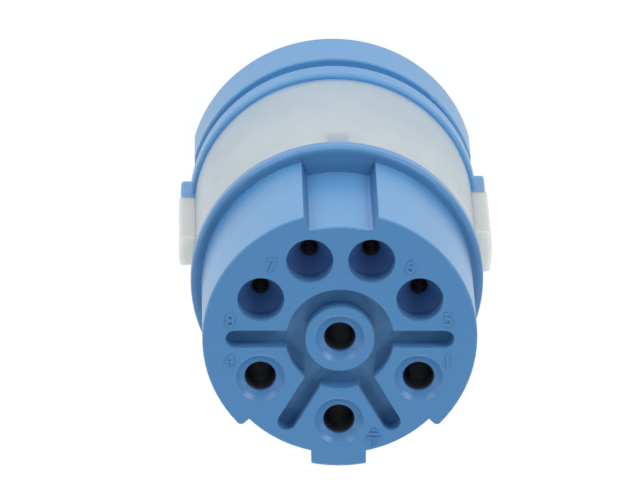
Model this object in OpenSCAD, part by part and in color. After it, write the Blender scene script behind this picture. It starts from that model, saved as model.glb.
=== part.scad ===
// Contact insert of a circular power connector, socket side, without its crimp contacts.
// It stands on its rear face: Z points to the mating face, Y to the wide key notch.

/* [Mating nose] */
// Diameter of the nose that enters the mating connector
nose_diameter = 18.3; // [17.8:0.1:19.4]
// Length of the nose, from the front flange to the mating face
nose_length = 9.4; // [7:0.1:14]
// Rounding of the edges round the mating face
face_rounding = 0.15; // [0.1:0.05:0.4]

/* [Coding of the nose] */
// Diameter of the floor of the wide key notch
notch_floor_diameter = 16.2; // [15.6:0.1:17]
// Angle that the key notch takes out of the nose wall
notch_angle = 31.2; // [20:0.2:34]
// Fillet where the notch's side walls meet its floor
notch_fillet = 0.35; // [0.1:0.05:0.4]
// Rounding of the outer edges of the notch's side walls
notch_corner = 0.1; // [0.05:0.05:0.3]
// Diameter of the relieved wall opposite the notch
relief_diameter = 16.8; // [16.3:0.1:17.4]
// Angle that the relief covers
relief_angle = 92; // [80:1:100]
// Rounding of the wall's corners where the relief begins
wall_corner = 0.4; // [0.1:0.05:0.5]
// Width of the coding tab in the middle of the relief
tab_width = 3.65; // [2:0.05:5]
// Diameter that the coding tab reaches
tab_diameter = 18.6; // [17.6:0.1:19]
// Rounding of the tab's two outer corners
tab_corner = 0.25; // [0.1:0.05:0.4]

/* [Grooves in the mating face] */
// Outer diameter of the ring groove round the middle contact
groove_diameter = 7.2; // [6.6:0.1:7.6]
// Diameter of the boss inside the ring groove
boss_diameter = 4.6; // [4:0.1:5.2]
// Width of the four slots that leave the ring groove
slot_width = 1.25; // [0.8:0.05:1.5]
// Distance of each slot's round end from the axis
slot_reach = 7.6; // [6.5:0.1:7.7]
// Depth of the ring groove and the slots
groove_depth = 1.15; // [0.5:0.05:1.6]

/* [Contact layout] */
// Diameter of the circle on which the outer contacts lie
contact_circle = 12; // [11.8:0.1:12.2]
// Angle between the notch and each of the two nearer signal contacts
inner_signal_angle = 20; // [19:0.5:22]
// Angle between the notch and each of the two farther signal contacts
outer_signal_angle = 61.5; // [60:0.5:63]
// Angle between the tab and each of the two outer power contacts
outer_power_angle = 61.5; // [60:0.5:63]

/* [Power contact ways] */
// Diameter of the hole that a power pin enters
power_entry = 2.1; // [1.8:0.05:2.6]
// Diameter of the shallow dish round a power entry
power_dish = 3.35; // [2.8:0.05:3.5]
// Depth of that dish
power_dish_depth = 0.42; // [0.2:0.02:0.6]
// Depth behind the mating face at which the power entry widens
power_land_depth = 2.2; // [1.8:0.1:3]
// Diameter of the chamber for a power socket
power_chamber = 3.5; // [3:0.1:3.6]
// Diameter of the rear bore that takes a crimped power contact
power_bore = 4.1; // [3.7:0.1:4.2]

/* [Signal contact ways] */
// Diameter of the hole that a signal pin enters
signal_entry = 1.18; // [1:0.02:1.4]
// Diameter of the straight recess round a signal entry
signal_recess = 3.12; // [2.6:0.02:3.4]
// Depth of that recess
signal_recess_depth = 1.45; // [1:0.05:1.5]
// Depth behind the mating face at which the funnel under the recess ends in the entry
signal_funnel_depth = 2.35; // [1.7:0.05:2.6]
// Depth behind the mating face at which the signal entry widens
signal_land_depth = 3.3; // [2.8:0.1:4]
// Diameter of the chamber for a signal socket
signal_chamber = 2.3; // [2:0.1:2.4]
// Diameter of the rear bore that takes a crimped signal contact
signal_bore = 2.8; // [2.5:0.1:3]

/* [Contact seats] */
// Depth behind the mating face of the shoulder that stops a contact
shoulder_depth = 13; // [11:0.1:16]
// Width of the lead-in chamfer at the rear of each bore
lead_in = 0.3; // [0.1:0.05:0.4]

/* [Flanges] */
// Diameter of the flanges and the ring that seat in the housing
seat_diameter = 19.8; // [19.4:0.1:24]
// Thickness of the front flange
front_flange = 1; // [0.8:0.1:2]
// Rounding of the front flange's front edge
front_flange_rounding = 0.4; // [0.1:0.05:0.6]
// Thickness of the rear flange
rear_flange = 3.85; // [3:0.05:6]
// Distance of each grip flat on the rear flange from the axis
grip_flat = 9.56; // [9.2:0.02:9.6]
// Chamfer of the rear flange's rear edge
rear_chamfer = 0.1; // [0.05:0.05:0.5]
// Thickness of the ring in front of the rear flange
ring_width = 1.65; // [1.2:0.05:3]
// Width of the groove between the ring and the rear flange
rear_groove_width = 1.2; // [0.8:0.1:2]
// Depth of that groove
rear_groove_depth = 0.9; // [0.4:0.1:1.2]
// Rounding of the ring's edges and the rear flange's front edge
ring_rounding = 0.15; // [0.1:0.05:0.4]

/* [Locking sleeve] */
// Outer diameter of the sleeve
sleeve_diameter = 19.2; // [18.8:0.1:19.3]
// Wall of the sleeve
sleeve_wall = 0.8; // [0.7:0.05:0.9]
// Length of the sleeve between the front flange and the ring
sleeve_length = 12.1; // [11:0.1:16]
// Rounding of the sleeve's two outer edges
sleeve_rounding = 0.15; // [0.05:0.05:0.2]

/* [Lugs] */
// Width of the narrow lug
narrow_lug = 2.1; // [1.5:0.05:4]
// Width of the wide lug
wide_lug = 3; // [1.5:0.05:4]
// Diameter that the sleeve's part of the lugs reaches
sleeve_lug_diameter = 21.34; // [20.6:0.02:26]
// Diameter that the rear body's part of the lugs reaches
body_lug_diameter = 21.1; // [20.6:0.02:26]
// Distance from the front flange to the front end of the lugs
lug_setback = 4.4; // [2:0.05:8]
// Length of the rear body's nose that keys into the sleeve at each lug
lug_nose = 0.8; // [0.2:0.05:1]
// Length of each lug that reaches back over the rear groove
lug_tail = 0.4; // [0.35:0.05:0.8]
// Rounding of the lugs' outer edges and rear ends
lug_rounding = 0.2; // [0.1:0.05:0.35]
// Rounding of the lugs' front ends
lug_front_rounding = 0.3; // [0.1:0.05:0.5]

/* [Snap joints] */
// Length of the core that the front carrier puts into the sleeve
core_length = 7.7; // [6:0.1:8.5]
// Distance of each snap bead from the flange or ring that it serves
snap_setback = 2.2; // [1.7:0.1:2.8]
// Radius of the snap beads
snap_bead = 0.3; // [0.2:0.05:0.35]
// Width of the key rib under the notch, between the core and the sleeve
key_width = 1.35; // [1:0.05:2]
// Length of that rib
key_length = 1.4; // [0.8:0.1:1.5]
// Height of that rib above the core
key_height = 0.45; // [0.2:0.05:0.5]

/* [Clearances] */
// Gap all round between the sleeve and the parts inside it
sleeve_fit = 0.05; // [0.02:0.01:0.1]
// Gap between the core and the rear body's plug
plug_gap = 0.1; // [0.05:0.05:0.3]

/* [Hidden] */
$fn = 96;
// Amount by which shapes that join run into each other
overlap = 0.02;
// Depth by which a corner rounding cuts into its two faces, so that it meets them in a clean edge
bite = 0.01;
// Length that reaches past the whole part
beyond = 30;

carrier_colour = [0.33, 0.55, 0.76];
sleeve_colour = [0.82, 0.84, 0.84];

// Stations along the axis, from the rear face up
rear_flange_front = rear_flange;
ring_rear = rear_flange_front + rear_groove_width;
ring_front = ring_rear + ring_width;
flange_rear = ring_front + sleeve_length;
flange_front = flange_rear + front_flange;
mating_face = flange_front + nose_length;
core_rear = flange_rear - core_length;
plug_front = core_rear - plug_gap;
shoulder = mating_face - shoulder_depth;

// The nose and the core both run on inside the front flange, to different depths
nose_foot = flange_rear + 0.6 * front_flange;
core_head = flange_rear + 0.3 * front_flange;

seat_radius = seat_diameter / 2;
sleeve_bore_radius = sleeve_diameter / 2 - sleeve_wall;
core_radius = sleeve_bore_radius - sleeve_fit;

// Lugs: the sleeve's part lies in front of the rear body's part
lug_front = flange_rear - lug_setback;
lug_seam = ring_front + lug_nose;
lug_rear = ring_rear - lug_tail;

// Direction of each lug, with its width
LUGS = [[0, wide_lug], [180, narrow_lug]];

// Contact positions: each signal way as an angle, each power way as [distance, angle]
NOTCH_DIRECTION = 90;
TAB_DIRECTION = 270;
SIGNAL_ANGLES = [
    NOTCH_DIRECTION - outer_signal_angle,
    NOTCH_DIRECTION - inner_signal_angle,
    NOTCH_DIRECTION + inner_signal_angle,
    NOTCH_DIRECTION + outer_signal_angle
];
POWER_WAYS = [
    [0, 0],
    [contact_circle / 2, TAB_DIRECTION - outer_power_angle],
    [contact_circle / 2, TAB_DIRECTION],
    [contact_circle / 2, TAB_DIRECTION + outer_power_angle]
];
SLOT_DIRECTIONS = [0, 180, 240, 300];

// Point at a distance from the axis in a direction
function at(distance, angle) = [distance * cos(angle), distance * sin(angle)];

// Wedge of the plane between two directions, as a fan of points
module wedge(reach, from, to) {
    steps = ceil((to - from) / 30);
    rim = [for (i = [0 : steps]) at(reach, from + (to - from) * i / steps)];
    polygon(concat([[0, 0]], rim));
}

// Disc sector with both outer corners rounded
module sector(radius, from, to, from_corner, to_corner) {
    first = from + corner_inset(radius, from_corner);
    last = to - corner_inset(radius, to_corner);
    first_centre = at(radius - from_corner + bite, first);
    last_centre = at(radius - to_corner + bite, last);
    steps = ceil((last - first) / 30);
    intersection() {
        circle(radius);
        wedge(2 * radius, from, to);
        union() {
            polygon(concat(
                [at(-overlap, (from + to) / 2)],
                corner_cut(first_centre, from_corner, from - 90, first),
                [for (i = [0 : steps]) at(2 * radius, first + (last - first) * i / steps)],
                corner_cut(last_centre, to_corner, last, to + 90)
            ));
            translate(first_centre) circle(from_corner);
            translate(last_centre) circle(to_corner);
        }
    }
}

// Angle from a sector's side to the centre of its rounded corner
function corner_inset(radius, corner) = asin((corner - bite) / (radius - corner + bite));

// Path into the centre of a rounded corner and out again, along two directions
function corner_cut(centre, corner, direction_in, direction_out) = [
    centre + at(2 * corner, direction_in),
    centre,
    centre + at(2 * corner, direction_out)
];

// Bar along X from the middle to a round end, with both outer corners rounded
module round_ended_bar(radius, half, corner) {
    corner_y = half - corner + bite;
    corner_x = sqrt(pow(radius - corner + bite, 2) - pow(corner_y, 2));
    turn = atan(corner_y / corner_x);
    intersection() {
        circle(radius);
        translate([0, -half]) square([2 * radius, 2 * half]);
        union() {
            polygon(concat(
                [[-overlap, 2 * half], [-overlap, -2 * half]],
                corner_cut([corner_x, -corner_y], corner, -NOTCH_DIRECTION, -turn),
                corner_cut([corner_x, corner_y], corner, turn, NOTCH_DIRECTION)
            ));
            for (side = [-1, 1]) translate([corner_x, side * corner_y]) circle(corner);
        }
    }
}

// Half section of a disc: it reaches the given radius and has a rounding at each outer edge
module disc_section(radius, bottom, top, bottom_round, top_round) {
    reach = max(bottom_round, top_round);
    translate([0, bottom]) square([radius - reach, top - bottom]);
    translate([0, bottom + bottom_round])
        square([radius, top - bottom - bottom_round - top_round]);
    if (bottom_round > 0) {
        translate([0, bottom]) square([radius - bottom_round, bottom_round + overlap]);
        translate([radius - bottom_round, bottom + bottom_round]) circle(bottom_round);
    }
    if (top_round > 0) {
        translate([0, top - top_round - overlap])
            square([radius - top_round, top_round + overlap]);
        translate([radius - top_round, top - top_round]) circle(top_round);
    }
}

module rounded_disc(radius, bottom, top, bottom_round, top_round) {
    rotate_extrude() disc_section(radius, bottom, top, bottom_round, top_round);
}

// Part of the nose wall: a disc with a rounded front edge, cut to an outline
module nose_wall(radius) {
    intersection() {
        rounded_disc(radius, nose_foot, mating_face, 0, face_rounding);
        translate([0, 0, nose_foot]) linear_extrude(mating_face - nose_foot) children();
    }
}

// Fillets along the foot of the notch's two side walls, let into the wall behind them
module notch_fillets() {
    centre_reach = notch_floor_diameter / 2 + notch_fillet - bite;
    inset = asin((notch_fillet - bite) / centre_reach);
    wall_reach = centre_reach * cos(inset);
    for (side = [-1, 1]) {
        wall = NOTCH_DIRECTION + side * notch_angle / 2;
        centre = at(centre_reach, wall - side * inset);
        difference() {
            polygon([[0, 0], at(wall_reach, wall + side * inset), at(wall_reach, wall), centre]);
            translate(centre) circle(notch_fillet);
        }
    }
}

// The nose: a full wall, the key notch, the relief and the coding tab
module nose() {
    notch_end = NOTCH_DIRECTION + notch_angle / 2;
    relief_start = TAB_DIRECTION - relief_angle / 2;
    nose_wall(notch_floor_diameter / 2) circle(notch_floor_diameter / 2);
    nose_wall(relief_diameter / 2)
        wedge(2 * nose_diameter, relief_start, relief_start + relief_angle);
    nose_wall(nose_diameter / 2) {
        sector(nose_diameter / 2, notch_end, relief_start, notch_corner, wall_corner);
        sector(nose_diameter / 2, 180 - relief_start, 180 - notch_end, wall_corner, notch_corner);
        notch_fillets();
    }
    nose_wall(tab_diameter / 2)
        rotate(TAB_DIRECTION) round_ended_bar(tab_diameter / 2, tab_width / 2, tab_corner);
}

// Way of a power contact through the carrier, as the half section of the hole
module power_way_section() {
    square([power_bore / 2, shoulder]);
    square([power_chamber / 2, mating_face - power_land_depth]);
    square([power_entry / 2, mating_face + overlap]);
    polygon([
        [0, mating_face - power_dish_depth],
        [power_entry / 2, mating_face - power_dish_depth],
        [power_dish / 2, mating_face],
        [power_dish / 2, mating_face + overlap],
        [0, mating_face + overlap]
    ]);
}

// Way of a signal contact through the carrier
module signal_way_section() {
    square([signal_bore / 2, shoulder]);
    square([signal_chamber / 2, mating_face - signal_land_depth]);
    square([signal_entry / 2, mating_face + overlap]);
    polygon([
        [0, mating_face - signal_funnel_depth],
        [signal_entry / 2, mating_face - signal_funnel_depth],
        [signal_recess / 2, mating_face - signal_recess_depth],
        [signal_recess / 2, mating_face + overlap],
        [0, mating_face + overlap]
    ]);
}

// Straight bore through the rear body, with a lead-in at the rear face
module guide_section(diameter) {
    square([diameter / 2, plug_front + overlap]);
    polygon([
        [0, -overlap],
        [diameter / 2 + lead_in + overlap, -overlap],
        [diameter / 2, lead_in],
        [0, lead_in]
    ]);
}

// Puts a hole at each power position
module at_power_ways() {
    for (way = POWER_WAYS) translate(at(way[0], way[1])) children();
}

// Puts a hole at each signal position
module at_signal_ways() {
    for (angle = SIGNAL_ANGLES) translate(at(contact_circle / 2, angle)) children();
}

// Ring groove and four slots in the mating face
module face_grooves() {
    translate([0, 0, mating_face - groove_depth]) linear_extrude(groove_depth + overlap) {
        difference() {
            circle(d = groove_diameter);
            circle(d = boss_diameter);
        }
        for (direction = SLOT_DIRECTIONS) rotate(direction) {
            slot_start = (groove_diameter + boss_diameter) / 4;
            slot_centre = slot_reach - slot_width / 2;
            translate([slot_start, -slot_width / 2])
                square([slot_centre - slot_start, slot_width]);
            translate([slot_centre, 0]) circle(d = slot_width);
        }
    }
}

// Round bead on a core, or with some extra radius the groove that it snaps into
module snap_ring(height, extra) {
    rotate_extrude() translate([core_radius, height]) circle(snap_bead + extra);
}

// Key rib under the notch, or with some extra size the slot for it
module key_rib(extra) {
    width = key_width + 2 * extra;
    intersection() {
        translate([-width / 2, 0, flange_rear - key_length - extra])
            cube([width, sleeve_diameter, key_length + extra + overlap]);
        cylinder(r = core_radius + key_height + extra, h = flange_front);
    }
}

module contact_carrier() {
    color(carrier_colour) difference() {
        union() {
            nose();
            rounded_disc(seat_radius, flange_rear, flange_front, 0, front_flange_rounding);
            translate([0, 0, core_rear]) cylinder(r = core_radius, h = core_head - core_rear);
            snap_ring(flange_rear - snap_setback, 0);
            key_rib(0);
        }
        face_grooves();
        at_power_ways() rotate_extrude() power_way_section();
        at_signal_ways() rotate_extrude() signal_way_section();
    }
}

// Lug that stands on a round wall, with its outer face concentric and its corners rounded
module lug(width, diameter, foot, rear, front, round_rear, round_front) {
    radius = diameter / 2;
    half = width / 2;
    intersection() {
        difference() {
            rounded_disc(radius, rear, front, round_rear, round_front);
            cylinder(r = foot, h = beyond * 2, center = true);
        }
        translate([0, 0, rear]) linear_extrude(front - rear)
            round_ended_bar(radius, half, lug_rounding);
    }
}

module locking_sleeve() {
    wall_middle = (sleeve_diameter - sleeve_wall) / 2;
    color(sleeve_colour) difference() {
        union() {
            rounded_disc(sleeve_diameter / 2, ring_front, flange_rear,
                sleeve_rounding, sleeve_rounding);
            for (side = LUGS) rotate(side[0])
                lug(side[1], sleeve_lug_diameter, wall_middle, lug_seam, lug_front,
                    0, lug_front_rounding);
        }
        translate([0, 0, -beyond]) cylinder(r = sleeve_bore_radius, h = 3 * beyond);
        snap_ring(flange_rear - snap_setback, sleeve_fit);
        snap_ring(ring_front + snap_setback, sleeve_fit);
        key_rib(sleeve_fit);
        for (side = LUGS) rotate(side[0])
            translate([0, -side[1] / 2 - sleeve_fit, ring_front - overlap])
                cube([seat_diameter, side[1] + 2 * sleeve_fit, lug_nose + overlap]);
    }
}

module rear_body() {
    color(carrier_colour) difference() {
        union() {
            rear_flange_disc();
            cylinder(r = seat_radius - rear_groove_depth, h = ring_front - ring_rounding);
            rounded_disc(seat_radius, ring_rear, ring_front, ring_rounding, ring_rounding);
            translate([0, 0, rear_flange / 2])
                cylinder(r = core_radius, h = plug_front - rear_flange / 2);
            snap_ring(ring_front + snap_setback, 0);
            for (side = LUGS) rotate(side[0])
                lug(side[1], body_lug_diameter, core_radius - overlap, lug_rear, lug_seam,
                    lug_rounding, 0);
        }
        at_power_ways() rotate_extrude() guide_section(power_bore);
        at_signal_ways() rotate_extrude() guide_section(signal_bore);
    }
}

// Rear flange with its chamfered edge and two grip flats
module rear_flange_disc() {
    intersection() {
        rotate_extrude() {
            polygon([
                [0, 0],
                [seat_radius - rear_chamfer, 0],
                [seat_radius, rear_chamfer],
                [seat_radius, rear_flange / 2],
                [0, rear_flange / 2]
            ]);
            disc_section(seat_radius, rear_flange / 2 - overlap, rear_flange, 0, ring_rounding);
        }
        translate([-grip_flat, -beyond, 0]) cube([2 * grip_flat, 2 * beyond, beyond]);
    }
}

contact_carrier();
locking_sleeve();
rear_body();
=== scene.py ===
"""Finish, face marks, floor, light and camera of the circular connector insert."""

import math

import bmesh
import bpy
from mathutils import Matrix, Vector


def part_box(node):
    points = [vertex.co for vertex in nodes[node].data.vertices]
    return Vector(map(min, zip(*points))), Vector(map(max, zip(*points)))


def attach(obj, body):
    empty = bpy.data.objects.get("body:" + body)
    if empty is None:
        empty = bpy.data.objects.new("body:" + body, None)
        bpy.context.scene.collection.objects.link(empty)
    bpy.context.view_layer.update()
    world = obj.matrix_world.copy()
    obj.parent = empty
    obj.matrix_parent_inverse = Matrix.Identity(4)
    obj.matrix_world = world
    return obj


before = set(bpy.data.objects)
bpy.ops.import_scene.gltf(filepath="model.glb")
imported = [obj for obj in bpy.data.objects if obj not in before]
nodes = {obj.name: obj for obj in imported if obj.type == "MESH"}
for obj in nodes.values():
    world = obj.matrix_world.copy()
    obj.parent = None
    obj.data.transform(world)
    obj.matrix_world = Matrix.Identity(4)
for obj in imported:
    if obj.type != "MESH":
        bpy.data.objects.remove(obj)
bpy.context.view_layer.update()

MM = 0.001

# Heights on the axis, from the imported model
FACE_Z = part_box("contact_carrier")[1].z
SLEEVE_REAR_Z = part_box("locking_sleeve")[0].z
SLEEVE_FRONT_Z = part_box("locking_sleeve")[1].z
SLEEVE_LENGTH = SLEEVE_FRONT_Z - SLEEVE_REAR_Z

# Raised marks on the mating face: number, or an empty text for the earth symbol, and its
# place in millimetres
MARK_HEIGHT = 0.95 * MM
MARK_RELIEF = 0.09 * MM
MARK_ROUNDING = 0.03 * MM
MARKS = (
    ("7", -4.58, 5.39),
    ("6", 4.60, 5.27),
    ("8", -7.31, 1.39),
    ("5", 7.18, 1.47),
    ("4", -7.31, -1.51),
    ("1", 7.18, -1.51),
    ("", 2.35, -7.18),
)
# Height of a digit in Blender's own font, as a share of its text size
DIGIT_SHARE = 0.7

# Earth symbol: stroke, stem length and middle, the bars' spacing, the longest bar's length
# and how much shorter each next one is, and how far the strokes taper towards their tops
EARTH_STROKE = 0.12 * MM
EARTH_STEM = 0.72 * MM
EARTH_STEM_MIDDLE = -0.35 * MM
EARTH_BAR_SPACING = 0.29 * MM
EARTH_LONGEST_BAR = 1.08 * MM
EARTH_BAR_STEP = 0.34 * MM
EARTH_BARS = 3
EARTH_TAPER = 0.92

# Contact ways: distance from the axis and direction in degrees from +X
WAY_CIRCLE = 6.0 * MM
POWER_WAYS = ((0.0, 0), (WAY_CIRCLE, 208.5), (WAY_CIRCLE, 270), (WAY_CIRCLE, 331.5))
SIGNAL_WAYS = tuple((WAY_CIRCLE, angle) for angle in (28.5, 70, 110, 151.5))

# The places below are tinted. Each pair named SIDE, BAND, FADE or TOP holds the two
# distances or heights between which a tint starts and ends, or fades.

# Entries of the ways: radius, and depth below the face at which their walls begin; and how
# far past the radius and how far below that depth the tint fades
# The entries' tint is painted shade that darkens their walls to near black
POWER_ENTRY = (1.05 * MM, 0.42 * MM)
SIGNAL_ENTRY = (0.59 * MM, 2.35 * MM)
ENTRY_PAST = (0.03 * MM, 0.06 * MM)
ENTRY_BELOW = (0.4 * MM, 0.02 * MM)

# Dishes round the power entries: radii between which the shading slopes, and by how much
DISH_WALL = (1.35 * MM, 1.75 * MM)
DISH_SLOPE = 0.1 * MM
# The dish tint is painted shade, darker than the face
DISH_SIDE = (1.63 * MM, 1.71 * MM)
DISH_TOP = (FACE_Z - 0.06 * MM, FACE_Z - 0.02 * MM)

# Funnels of the signal ways, and chambers behind all entries
# The funnel tint is painted shade, strongest deep down
FUNNEL_SIDE = (1.6 * MM, 1.66 * MM)
FUNNEL_FADE = (FACE_Z - 1.45 * MM, FACE_Z - 0.1 * MM)
# The chambers' tint is painted shade: neutral grey, so their deep shade reads black
CHAMBER_SIDE = (2.1 * MM, 2.2 * MM)
CHAMBER_BAND = (FACE_Z - 7.0 * MM, FACE_Z - 2.3 * MM)
CHAMBER_SOFT = 0.2 * MM

# Mating face, front flange, groove behind the ring, and ring
# Face tint, painted sheen: bluer than the paled base, which stands in for the walls' sheen
FACE_TOP = (FACE_Z - 0.1 * MM, FACE_Z - 0.01 * MM)
# The front flange's tint is painted shade
FLANGE_BAND = (SLEEVE_FRONT_Z, SLEEVE_FRONT_Z + 1.0 * MM)
FLANGE_SIDE = (9.1 * MM, 9.3 * MM)
FLANGE_SOFT = 0.02 * MM
# The groove's tint is painted light that lifts its shade
GROOVE_BAND = (3.8 * MM, 5.1 * MM)
GROOVE_SOFT = 0.08 * MM
# On the ring: painted light on its front faces, and more widely softened edges
RING_BAND = (5.05 * MM, SLEEVE_REAR_Z + 0.1 * MM)
RING_SOFT = 0.03 * MM

# Key notch: half its angle, the radius of its floor, and its side walls' limits
NOTCH_HALF = math.radians(15.6)
NOTCH_FLOOR = 8.1 * MM
# The notch's side walls are darkened by a painted shade
NOTCH_WALL = (-0.12 * MM, 0.03 * MM)
NOTCH_WALL_SOFT = 0.04 * MM
NOTCH_WALL_FOOT = (NOTCH_FLOOR - 0.5 * MM, NOTCH_FLOOR - 0.3 * MM)
NOTCH_BAND = (FLANGE_BAND[1], FACE_Z - 0.1 * MM)
NOTCH_SOFT = 0.06 * MM

# Foot of the nose's wall, in the flange's shade: it fades towards the face and deepens
# from the middle plane to the sides
NOSE_SIDE = (NOTCH_FLOOR - 0.4 * MM, 9.25 * MM)
NOSE_SOFT = 0.05 * MM
FOOT_FADE = (FLANGE_BAND[1] + 2.0 * MM, FLANGE_BAND[1] + 4.8 * MM)
FOOT_TOP = (FLANGE_BAND[1], FLANGE_BAND[1] + 0.02 * MM)
FOOT_ACROSS = (4.0 * MM, 7.0 * MM)
FOOT_STRENGTH = (0.3, 0.9)

# Sleeve: the parts towards and beside the ring
TOWARD_RING = (SLEEVE_REAR_Z, SLEEVE_REAR_Z + 0.75 * SLEEVE_LENGTH)
BESIDE_RING = (SLEEVE_REAR_Z + 0.15 * MM, SLEEVE_REAR_Z + 0.65 * MM)

# The carrier's key rib shows through the sleeve, on the key notch's side: the shade of the
# rib and of the faint halo round it, across and along, and how far from the middle plane
# the key notch's side begins. The bands' upper end lies far above the sleeve.
RIB_HALF = 0.68 * MM
RIB_LENGTH = 2.0 * MM
RIB_SIDE = (RIB_HALF - 0.15 * MM, RIB_HALF + 0.25 * MM)
RIB_BAND = (SLEEVE_FRONT_Z - RIB_LENGTH, 1.0)
HALO_SIDE = (RIB_HALF, 3.2 * RIB_HALF)
HALO_BAND = (SLEEVE_FRONT_Z - 1.3 * RIB_LENGTH, 1.0)
RIB_SOFT = 0.7 * MM
KEY_SIDE = (0.0, 1.0 * MM)

# Lugs: distance from the axis at which they rise from the sleeve
LUG_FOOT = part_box("locking_sleeve")[1].y
# Lug tints are painted light, strongest on each lug's front faces
LUG_SIDE = (LUG_FOOT, LUG_FOOT + 0.08 * MM)

# Share of a face's normal along the axis between which it counts as facing forward
FORWARD = (0.1, 0.9)

# Colours, as display values between 0 and 255, and each tint's strength. A tint lies over
# those before it.
# Base blue, paled a little to stand in for the walls' grazing sheen: partly painted sheen
BLUE = (89, 146, 195)
BLUE_TINTS = {
    "cloud": ((85, 142, 191), 1.0),
    "mottle": ((93, 149, 197), 0.5),
    # painted sheen: the face bluer than the walls' paled base
    "face": ((83, 146, 205), 0.85),
    # painted shade at the foot of the nose's wall
    "nose_foot": ((64, 125, 180), 1.0),
    # painted shade on the key notch's side walls
    "notch_wall_shade": ((50, 104, 162), 1.0),
    # painted shade on the front flange
    "flange": ((72, 129, 184), 0.6),
    # painted light, lifting the groove's shade
    "groove": ((99, 164, 214), 0.9),
    # painted light on the ring's front faces
    "ring_front": ((104, 170, 226), 1.0),
    # painted shade in each dish
    "dish_shade": ((75, 136, 196), 0.8),
    # painted shade deep in each funnel
    "funnel_shade": ((86, 130, 186), 1.0),
    # painted shade: the entries' walls near black
    "entries": ((64, 66, 74), 1.0),
    # painted shade: neutral grey deep in the chambers
    "chambers": ((104, 106, 112), 0.9),
}
NATURAL = (178, 187, 191)
NATURAL_TINTS = {
    "cloud": ((169, 179, 185), 1.0),
    "toward_ring": ((154, 173, 188), 0.85),
    "beside_ring": ((102, 146, 196), 0.8),
    "halo": ((160, 172, 182), 0.5),
    "rib": ((128, 148, 166), 0.65),
    # painted light: each lug lighter than the sleeve
    "lugs": ((193, 197, 196), 1.0),
    # painted light on each lug's front faces
    "lug_front_light": ((228, 231, 229), 1.0),
}

# Noises: scale, detail and roughness; and the values between which each is spread out
BLUE_CLOUD = (230, 4, 0.55)
BLUE_CLOUD_SPREAD = (0.35, 0.65)
BLUE_MOTTLE = (2600, 3, 0.65)
BLUE_MOTTLE_SPREAD = (0.35, 0.7)
NATURAL_CLOUD = (260, 4, 0.6)
NATURAL_CLOUD_SPREAD = (0.3, 0.7)

# Roughness: values of the noise between which it changes, and its own two values
BLUE_ROUGHNESS = (0.3, 0.7, 0.31, 0.39)
NATURAL_ROUGHNESS = (0.3, 0.7, 0.32, 0.42)

# Relief of the surfaces, each a noise with its strength and height: waviness, draw marks,
# and grain, whose scale is the material's own
WAVES = (420, 2, 0.4, 0.35, 0.03 * MM)
DRAW_MARKS = (1900, 2, 0.5, 0.5, 0.01 * MM)
GRAIN = (3, 0.6, 0.3, 0.008 * MM)
BLUE_GRAIN_SCALE = 5200
NATURAL_GRAIN_SCALE = 4600

# Draw marks are long along the axis: factor on the coordinates
DRAW_STRETCH = (1, 1, 0.03)

# Radius of the softened edges, in general and on the ring
EDGE_RADIUS = 0.07 * MM
RING_EDGE_RADIUS = 0.4 * MM

# Floor: half its side, and its whiteness and glow as the camera sees it and as it lights
# the object
FLOOR_HALF = 1.5
FLOOR_SEEN = (0.12, 0.93)
FLOOR_LIT = (0.8, 0.43)

# World: strength for the object and as seen by the camera
WORLD_FILL = 0.21
WORLD_SEEN = 1.0

# Studio panels: distance, and for each its direction in degrees from +X, height angle,
# width, height and power
PANEL_DISTANCE = 0.6
PANELS = (
    (0, 20, 0.3, 0.22, 0.2),
    (45, 20, 0.3, 0.22, 1.13),
    (90, 5, 0.3, 0.1, 0.65),
    (120, 5, 0.3, 0.1, 0.47),
    (135, 20, 0.3, 0.22, 0.59),
    (180, 20, 0.3, 0.22, 0.47),
    (270, 20, 0.3, 0.22, 0.29),
    (0, 43, 0.15, 0.15, 0.26),
    (42, 41, 0.06, 0.06, 0.05),
    (138, 41, 0.06, 0.06, 0.05),
    (180, 43, 0.15, 0.15, 0.08),
    (225, 43, 0.15, 0.15, 0.35),
    (270, 43, 0.15, 0.15, 0.49),
    (315, 43, 0.15, 0.15, 0.35),
)

# Camera, as fitted to the circles in the photograph
IMAGE_WIDTH = 640
SENSOR_WIDTH = 36.0
FOCAL_PIXELS = 7692.8
CAMERA_DISTANCE = 511.2 * MM
CAMERA_TILT = math.radians(23.209)
CAMERA_TURN = math.radians(-1.250)
CAMERA_ROLL = math.radians(0.556)
CAMERA_RIGHT = -1.324 * MM
CAMERA_UP = 6.594 * MM
CAMERA_CLIP = (0.05, 20.0)


# Materials


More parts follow.
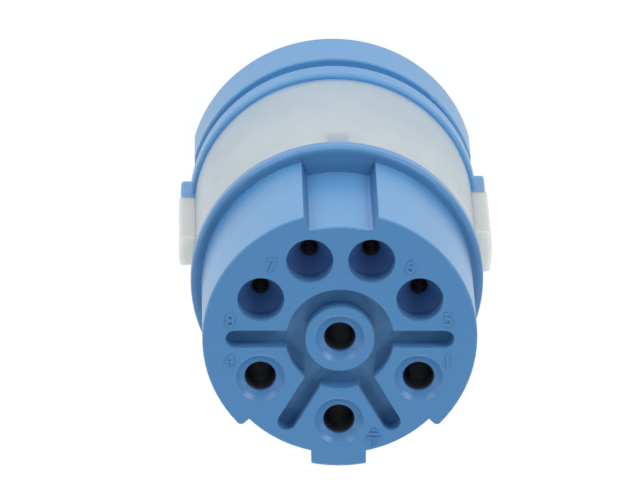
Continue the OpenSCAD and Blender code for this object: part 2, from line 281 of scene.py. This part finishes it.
class Graph:
    """Small helper that adds and links nodes of one material."""

    def __init__(self, name):
        self.material = bpy.data.materials.new(name)
        self.material.use_nodes = True
        self.tree = self.material.node_tree
        self.tree.nodes.clear()
        self.output = self.add("ShaderNodeOutputMaterial")

    def add(self, kind, **settings):
        node = self.tree.nodes.new(kind)
        for key, value in settings.items():
            setattr(node, key, value)
        return node

    def link(self, source, target):
        self.tree.links.new(source, target)

    def value(self, target, item):
        """Sets a socket to a constant or links it to another socket."""
        if isinstance(item, bpy.types.NodeSocket):
            self.link(item, target)
        else:
            target.default_value = item

    def math(self, operation, a, b=0.0):
        node = self.add("ShaderNodeMath", operation=operation)
        self.value(node.inputs[0], a)
        self.value(node.inputs[1], b)
        return node.outputs[0]

    def times(self, *factors):
        """Product of two or more numbers."""
        product = factors[0]
        for factor in factors[1:]:
            product = self.math("MULTIPLY", product, factor)
        return product

    def vector(self, operation, a, b):
        """Node that works on a vector and a constant one."""
        node = self.add("ShaderNodeVectorMath", operation=operation)
        self.link(a, node.inputs[0])
        node.inputs[1].default_value = b
        return node

    def split(self, vector):
        """The three parts of a vector."""
        node = self.add("ShaderNodeSeparateXYZ")
        self.link(vector, node.inputs[0])
        return [node.outputs[axis] for axis in "XYZ"]

    def noise(self, coordinates, scale, detail, roughness):
        node = self.add("ShaderNodeTexNoise")
        self.link(coordinates, node.inputs["Vector"])
        node.inputs["Scale"].default_value = scale
        node.inputs["Detail"].default_value = detail
        node.inputs["Roughness"].default_value = roughness
        return node.outputs["Fac"]

    def ramp(self, factor, low, high, to_low=0.0, to_high=1.0, smooth=False):
        node = self.add("ShaderNodeMapRange")
        if smooth:
            node.interpolation_type = "SMOOTHSTEP"
        self.value(node.inputs["Value"], factor)
        node.inputs["From Min"].default_value = low
        node.inputs["From Max"].default_value = high
        node.inputs["To Min"].default_value = to_low
        node.inputs["To Max"].default_value = to_high
        return node.outputs["Result"]

    def fall(self, factor, low, high, smooth=False):
        """One below low, zero above high."""
        return self.ramp(factor, low, high, 1.0, 0.0, smooth)

    def band(self, position, low, high, soft):
        """One between low and high, zero outside, with soft ends."""
        rise = self.ramp(position, low - soft, low + soft, smooth=True)
        return self.times(rise, self.fall(position, high - soft, high + soft, True))

    def mix(self, factor, a, b):
        node = self.add("ShaderNodeMix", data_type="RGBA")
        self.value(node.inputs["Factor"], factor)
        self.value(node.inputs["A"], a)
        self.value(node.inputs["B"], b)
        return node.outputs["Result"]

    def bump(self, height, strength, distance, normal):
        node = self.add("ShaderNodeBump")
        node.inputs["Strength"].default_value = strength
        node.inputs["Distance"].default_value = distance
        self.link(height, node.inputs["Height"])
        self.link(normal, node.inputs["Normal"])
        return node.outputs["Normal"]


def rgb(red, green, blue):
    """Linear colour from display values between 0 and 255."""

    def linear(value):
        value /= 255
        if value <= 0.04045:
            return value / 12.92
        return ((value + 0.055) / 1.055) ** 2.4

    return (linear(red), linear(green), linear(blue), 1.0)


def surface(g, place, grain_scale, edge):
    """Normal with softened edges, a slight waviness, draw marks and a fine moulded grain."""
    rounded = g.add("ShaderNodeBevel", samples=6)
    g.value(rounded.inputs["Radius"], edge)
    along = g.vector("MULTIPLY", place, DRAW_STRETCH).outputs["Vector"]
    normal = rounded.outputs["Normal"]
    for coordinates, (*noise, strength, height) in (
        (place, WAVES),
        (along, DRAW_MARKS),
        (place, (grain_scale, *GRAIN)),
    ):
        normal = g.bump(g.noise(coordinates, *noise), strength, height, normal)
    return normal


def nearest_way(g, place, ways):
    """Distance from the nearest of some contact ways' axes."""
    flat = g.vector("MULTIPLY", place, (1, 1, 0)).outputs["Vector"]
    nearest = 1.0
    for distance, angle in ways:
        x = distance * math.cos(math.radians(angle))
        y = distance * math.sin(math.radians(angle))
        away = g.vector("DISTANCE", flat, (x, y, 0)).outputs["Value"]
        nearest = g.math("MINIMUM", away, nearest)
    return nearest


def from_axis(g, x, y):
    """Distance from the object's axis."""
    squares = [g.math("POWER", side, 2.0) for side in (x, y)]
    return g.math("SQRT", g.math("ADD", *squares))


def facing_forward(g, coordinates):
    """One on faces that point at the mating side, zero on walls."""
    forward = g.split(coordinates.outputs["Normal"])[2]
    return g.ramp(forward, *FORWARD, smooth=True)


def entry_wall_shade(g, z, nearest, entry):
    """Painted shade: one on the wall of an entry, rising with the depth below its dish or
    funnel.
    """
    radius, foot = entry
    near = g.fall(nearest, *(radius + past for past in ENTRY_PAST))
    return g.times(near, g.fall(z, *(FACE_Z - foot - below for below in ENTRY_BELOW)))


def notch_wall_shade(g, x, y, z):
    """Painted shade: one on the side walls of the key notch."""
    past = g.math(
        "SUBTRACT",
        g.times(g.math("ABSOLUTE", x), math.cos(NOTCH_HALF)),
        g.times(y, math.sin(NOTCH_HALF)),
    )
    return g.times(
        g.band(past, *NOTCH_WALL, NOTCH_WALL_SOFT),
        g.ramp(y, *NOTCH_WALL_FOOT),
        g.band(z, *NOTCH_BAND, NOTCH_SOFT),
    )


def nose_foot(g, x, z, radius):
    """Shade at the foot of the nose's wall, deeper towards the sides."""
    return g.times(
        g.fall(z, *FOOT_FADE),
        g.ramp(g.math("ABSOLUTE", x), *FOOT_ACROSS, *FOOT_STRENGTH),
        g.band(radius, *NOSE_SIDE, NOSE_SOFT),
        g.ramp(z, *FOOT_TOP),
    )


def tinted(g, colour, tints, places):
    """Colour with each tint laid over it in turn, where its place is."""
    shade = rgb(*colour)
    for name, (tint, strength) in tints.items():
        shade = g.mix(g.times(places[name], strength), shade, rgb(*tint))
    return shade


def blue_plastic():
    """Satin blue moulded plastic with a fine fibre mottle, tinted by place with painted
    shade, light and sheen.
    """
    g = Graph("blue_plastic")
    coordinates = g.add("ShaderNodeTexCoord")
    place = coordinates.outputs["Object"]
    x, y, z = g.split(place)
    radius = from_axis(g, x, y)
    power = nearest_way(g, place, POWER_WAYS)
    signal = nearest_way(g, place, SIGNAL_WAYS)
    mottle = g.noise(place, *BLUE_MOTTLE)
    ring = g.band(z, *RING_BAND, RING_SOFT)
    # Cloud and mottle are the plastic's own tone; the other places carry painted shade, light
    # and sheen
    places = {
        "cloud": g.ramp(g.noise(place, *BLUE_CLOUD), *BLUE_CLOUD_SPREAD),
        "mottle": g.ramp(mottle, *BLUE_MOTTLE_SPREAD),
        "face": g.ramp(z, *FACE_TOP),
        "nose_foot": nose_foot(g, x, z, radius),
        "notch_wall_shade": notch_wall_shade(g, x, y, z),
        "flange": g.times(
            g.band(z, *FLANGE_BAND, FLANGE_SOFT), g.ramp(radius, *FLANGE_SIDE)
        ),
        "groove": g.band(z, *GROOVE_BAND, GROOVE_SOFT),
        "ring_front": g.times(ring, facing_forward(g, coordinates)),
        "dish_shade": g.times(g.fall(power, *DISH_SIDE), g.fall(z, *DISH_TOP)),
        "funnel_shade": g.times(g.fall(z, *FUNNEL_FADE), g.fall(signal, *FUNNEL_SIDE)),
        "entries": g.math(
            "MAXIMUM",
            entry_wall_shade(g, z, power, POWER_ENTRY),
            entry_wall_shade(g, z, signal, SIGNAL_ENTRY),
        ),
        "chambers": g.times(
            g.fall(g.math("MINIMUM", power, signal), *CHAMBER_SIDE),
            g.band(z, *CHAMBER_BAND, CHAMBER_SOFT),
        ),
    }

    bsdf = g.add("ShaderNodeBsdfPrincipled")
    g.link(tinted(g, BLUE, BLUE_TINTS, places), bsdf.inputs["Base Color"])
    g.link(g.ramp(mottle, *BLUE_ROUGHNESS), bsdf.inputs["Roughness"])
    bsdf.inputs["Sheen Weight"].default_value = 0.1
    bsdf.inputs["Sheen Roughness"].default_value = 0.3
    edge = g.ramp(ring, 0.0, 1.0, EDGE_RADIUS, RING_EDGE_RADIUS)
    normal = surface(g, place, BLUE_GRAIN_SCALE, edge)
    normal = g.bump(g.ramp(power, *DISH_WALL), 1.0, DISH_SLOPE, normal)
    g.link(normal, bsdf.inputs["Normal"])
    g.link(bsdf.outputs[0], g.output.inputs["Surface"])
    return g.material


def natural_plastic():
    """Natural plastic that lets some light through and shows what lies close behind it;
    painted light lightens each lug, most on its front faces.
    """
    g = Graph("natural_plastic")
    coordinates = g.add("ShaderNodeTexCoord")
    place = coordinates.outputs["Object"]
    x, y, z = g.split(place)
    cloud = g.noise(place, *NATURAL_CLOUD)
    across = g.math("ABSOLUTE", x)
    key_side = g.ramp(y, *KEY_SIDE)
    lugs = g.ramp(from_axis(g, x, y), *LUG_SIDE)
    places = {
        "cloud": g.ramp(cloud, *NATURAL_CLOUD_SPREAD),
        "toward_ring": g.fall(z, *TOWARD_RING),
        "beside_ring": g.fall(z, *BESIDE_RING),
        "halo": g.times(
            g.fall(across, *HALO_SIDE, True), g.band(z, *HALO_BAND, RIB_SOFT), key_side
        ),
        "rib": g.times(
            g.fall(across, *RIB_SIDE, True), g.band(z, *RIB_BAND, RIB_SOFT), key_side
        ),
        # painted light on each lug, most on its front faces
        "lugs": lugs,
        "lug_front_light": g.times(lugs, facing_forward(g, coordinates)),
    }

    bsdf = g.add("ShaderNodeBsdfPrincipled")
    g.link(tinted(g, NATURAL, NATURAL_TINTS, places), bsdf.inputs["Base Color"])
    g.link(g.ramp(cloud, *NATURAL_ROUGHNESS), bsdf.inputs["Roughness"])
    bsdf.inputs["Specular IOR Level"].default_value = 0.3
    normal = surface(g, place, NATURAL_GRAIN_SCALE, EDGE_RADIUS)
    g.link(normal, bsdf.inputs["Normal"])
    bsdf.inputs["Subsurface Weight"].default_value = 0.7
    bsdf.inputs["Subsurface Radius"].default_value = (1.0, 1.0, 1.0)
    bsdf.inputs["Subsurface Scale"].default_value = 1.5 * MM
    g.link(bsdf.outputs[0], g.output.inputs["Surface"])
    return g.material


def glowing_white(g, white, strength):
    """White surface that glows a little."""
    diffuse = g.add("ShaderNodeBsdfDiffuse")
    diffuse.inputs["Color"].default_value = (white, white, white, 1.0)
    glow = g.add("ShaderNodeEmission")
    glow.inputs["Strength"].default_value = strength
    both = g.add("ShaderNodeAddShader")
    g.link(diffuse.outputs[0], both.inputs[0])
    g.link(glow.outputs[0], both.inputs[1])
    return both.outputs[0]


def seen_directly(g):
    """One for camera rays and for reflections of what the camera would see."""
    path = g.add("ShaderNodeLightPath")
    direct = g.math(
        "MAXIMUM", path.outputs["Is Camera Ray"], path.outputs["Is Glossy Ray"]
    )
    return g.math("MAXIMUM", direct, path.outputs["Is Transmission Ray"])


def floor_material():
    """White floor that keeps the object's shadow."""
    g = Graph("floor")
    both = g.add("ShaderNodeMixShader")
    g.link(seen_directly(g), both.inputs[0])
    g.link(glowing_white(g, *FLOOR_LIT), both.inputs[1])
    g.link(glowing_white(g, *FLOOR_SEEN), both.inputs[2])
    g.link(both.outputs[0], g.output.inputs["Surface"])
    return g.material


# Raised marks on the mating face


def number_mesh(text):
    """Raised number, centred on the origin."""
    data = bpy.data.curves.new("number", "FONT")
    data.body = text
    data.size = MARK_HEIGHT / DIGIT_SHARE
    data.align_x = "CENTER"
    data.resolution_u = 3
    data.extrude = MARK_RELIEF - MARK_ROUNDING
    data.bevel_depth = MARK_ROUNDING
    data.bevel_resolution = 2
    data.offset = -0.5 * MARK_ROUNDING
    obj = bpy.data.objects.new("number", data)
    mesh = bpy.data.meshes.new_from_object(obj)
    mesh.transform(Matrix.Translation((0, -MARK_HEIGHT / 2, 0)))
    bpy.data.objects.remove(obj)
    return mesh


def earth_mesh():
    """Raised earth symbol: a stem towards the rim and three bars towards the middle."""
    mesh = bpy.data.meshes.new("earth")
    bm = bmesh.new()
    strokes = [(EARTH_STEM_MIDDLE, EARTH_STROKE, EARTH_STEM)]
    for step in range(EARTH_BARS):
        length = EARTH_LONGEST_BAR - step * EARTH_BAR_STEP
        strokes.append((step * EARTH_BAR_SPACING, length, EARTH_STROKE))
    for y, width, height in strokes:
        made = bmesh.ops.create_cube(bm, size=1)["verts"]
        bmesh.ops.scale(bm, vec=(width, height, 2 * MARK_RELIEF), verts=made)
        top = [v for v in made if v.co.z > 0]
        bmesh.ops.scale(bm, vec=(EARTH_TAPER, EARTH_TAPER, 1), verts=top)
        bmesh.ops.translate(bm, vec=(0, y, 0), verts=made)
    bm.to_mesh(mesh)
    bm.free()
    return mesh


def make_marks(material):
    """One piece with all raised marks, standing on the mating face."""
    bm = bmesh.new()
    for text, x, y in MARKS:
        part = number_mesh(text) if text else earth_mesh()
        part.transform(Matrix.Translation((x * MM, y * MM, FACE_Z)))
        bm.from_mesh(part)
        bpy.data.meshes.remove(part)
    mesh = bpy.data.meshes.new("face_marks")
    bm.to_mesh(mesh)
    bm.free()
    mesh.materials.clear()
    mesh.materials.append(material)
    marks = bpy.data.objects.new("face_marks", mesh)
    bpy.context.scene.collection.objects.link(marks)
    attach(marks, "root")


# Floor, light and camera


def make_floor():
    """Square floor in the plane that the object stands on."""
    mesh = bpy.data.meshes.new("floor")
    signs = ((-1, -1), (1, -1), (1, 1), (-1, 1))
    corners = [(x * FLOOR_HALF, y * FLOOR_HALF, 0) for x, y in signs]
    mesh.from_pydata(corners, [], [(0, 1, 2, 3)])
    mesh.materials.append(floor_material())
    floor = bpy.data.objects.new("floor", mesh)
    bpy.context.scene.collection.objects.link(floor)


def make_panel(azimuth, height_angle, width, height, power):
    """Soft studio panel that faces the object."""
    data = bpy.data.lights.new("panel", "AREA")
    data.shape = "RECTANGLE"
    data.size = width
    data.size_y = height
    data.energy = power
    azimuth, height_angle = math.radians(azimuth), math.radians(height_angle)
    outward = Vector(
        (
            math.cos(azimuth) * math.cos(height_angle),
            math.sin(azimuth) * math.cos(height_angle),
            math.sin(height_angle),
        )
    )
    panel = bpy.data.objects.new("panel", data)
    panel.location = Vector((0, 0, FACE_Z / 2)) + PANEL_DISTANCE * outward
    panel.rotation_mode = "QUATERNION"
    panel.rotation_quaternion = (-outward).to_track_quat("-Z", "Y")
    panel.visible_camera = False
    bpy.context.scene.collection.objects.link(panel)


def make_world():
    """Even fill light, seen as white by the camera."""
    world = bpy.data.worlds.new("studio")
    world.use_nodes = True
    tree = world.node_tree
    background = tree.nodes["Background"]
    background.inputs["Color"].default_value = (1, 1, 1, 1)
    path = tree.nodes.new("ShaderNodeLightPath")
    strength = tree.nodes.new("ShaderNodeMapRange")
    tree.links.new(path.outputs["Is Camera Ray"], strength.inputs["Value"])
    strength.inputs["To Min"].default_value = WORLD_FILL
    strength.inputs["To Max"].default_value = WORLD_SEEN
    tree.links.new(strength.outputs[0], background.inputs["Strength"])
    bpy.context.scene.world = world


def make_camera():
    """Camera that looks at the mating face from the key notch's side."""
    back = Vector(
        (
            math.sin(CAMERA_TURN) * math.cos(CAMERA_TILT),
            math.sin(CAMERA_TILT),
            math.cos(CAMERA_TURN) * math.cos(CAMERA_TILT),
        )
    )
    level_right = Vector((0, 1, 0)).cross(back).normalized()
    level_up = back.cross(level_right)
    cos_roll, sin_roll = math.cos(CAMERA_ROLL), math.sin(CAMERA_ROLL)
    right = cos_roll * level_right + sin_roll * level_up
    up = cos_roll * level_up - sin_roll * level_right
    eye = (
        Vector((0, 0, FACE_Z))
        + CAMERA_DISTANCE * back
        + CAMERA_RIGHT * right
        + CAMERA_UP * up
    )
    data = bpy.data.cameras.new("camera")
    data.sensor_fit = "HORIZONTAL"
    data.sensor_width = SENSOR_WIDTH
    data.lens = FOCAL_PIXELS * SENSOR_WIDTH / IMAGE_WIDTH
    data.clip_start, data.clip_end = CAMERA_CLIP
    camera = bpy.data.objects.new("camera", data)
    rotation = Matrix((right, up, back)).transposed()
    camera.matrix_world = Matrix.Translation(eye) @ rotation.to_4x4()
    bpy.context.scene.collection.objects.link(camera)
    bpy.context.scene.camera = camera


def dress(name, material):
    """Gives a CAD node its material."""
    mesh = nodes[name].data
    mesh.materials.clear()
    mesh.materials.append(material)


# The object, and what stands round it

blue = blue_plastic()
dress("contact_carrier", blue)
dress("locking_sleeve", natural_plastic())
dress("rear_body", blue)
make_marks(blue)
make_floor()
make_world()
for panel in PANELS:
    make_panel(*panel)
make_camera()
bpy.context.scene.view_settings.view_transform = "Standard"
